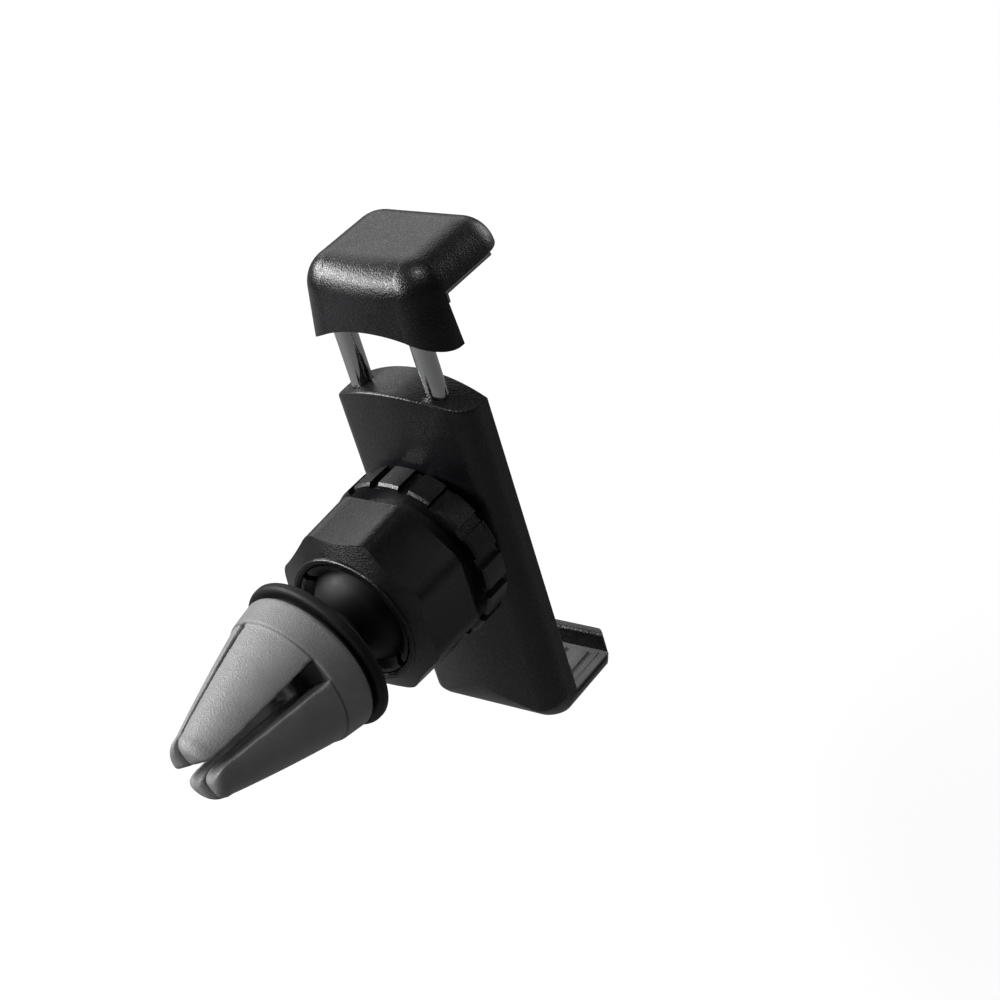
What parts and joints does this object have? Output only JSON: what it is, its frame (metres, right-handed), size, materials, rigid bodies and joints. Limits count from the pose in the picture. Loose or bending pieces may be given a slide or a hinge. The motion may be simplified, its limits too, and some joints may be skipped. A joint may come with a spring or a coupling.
{
  "type": "air vent phone holder",
  "caption": "Phone holder for a car air vent: a spring jaw on two steel rods over a fixed hook, on a ball joint with a lock nut and a four-fingered rubber vent clip.",
  "frame": {"origin": "the point between the clip's four fingers where a vent blade is gripped, on the clip's own axis", "axes": "+Z is the way the jaw slides open, +Y points from the vent towards the phone, +X is across the holder"},
  "size_m": [0.0268, 0.0717, 0.0783],
  "materials": {
    "shell": "fine spark-textured moulded black plastic",
    "joint_body": "moulded black plastic, satin on the ball",
    "sleeve": "soft mid-grey rubber",
    "liner": "soft grey rubber",
    "rod_steel": "polished chrome plate",
    "spring_steel": "bright spring wire",
    "screw_steel": "zinc-plated steel"
  },
  "bodies": {
    "clip": {"clip_core": "joint_body", "clip_sleeve": "sleeve"},
    "cup": {"friction_cup": "joint_body"},
    "nut": {"lock_nut": "joint_body"},
    "holder": {"ball_socket": "joint_body", "socket_screws": "screw_steel", "back_shell": "shell", "front_cover": "shell", "cover_screws": "screw_steel", "front_pad": "liner", "hook_pad": "liner", "spring_left": "spring_steel", "spring_right": "spring_steel"},
    "jaw": {"jaw_shell": "shell", "jaw_plate": "shell", "jaw_liner": "liner", "jaw_screws": "screw_steel", "rod_left": "rod_steel", "rod_right": "rod_steel", "spring_washers": "spring_steel", "rod_clips": "spring_steel"}
  },
  "joints": [
    {"name": "ball_swing", "type": "hinge", "parent": "clip", "child": "cup", "pos_m": [0.00202, 0.02689, 0.00127], "axis": [0, 0, 1], "range_deg": [-20.3, 11.7]},
    {"name": "ball_tilt", "type": "hinge", "parent": "cup", "child": "nut", "pos_m": [0.00202, 0.02689, 0.00127], "axis": [1, 0, 0], "range_deg": [-13.3, 18.7]},
    {"name": "holder_spin", "type": "hinge", "parent": "nut", "child": "holder", "pos_m": [0.00202, 0.02689, 0.00127], "axis": [0, 1, 0], "continuous": true},
    {"name": "jaw_slide", "type": "slide", "parent": "holder", "child": "jaw", "axis": [0, 0, 1], "range_m": [-0.0095, 0.018], "stiffness_N_per_m": 220, "springref_m": -0.02, "deforming": ["spring_left", "spring_right"]}
  ]
}
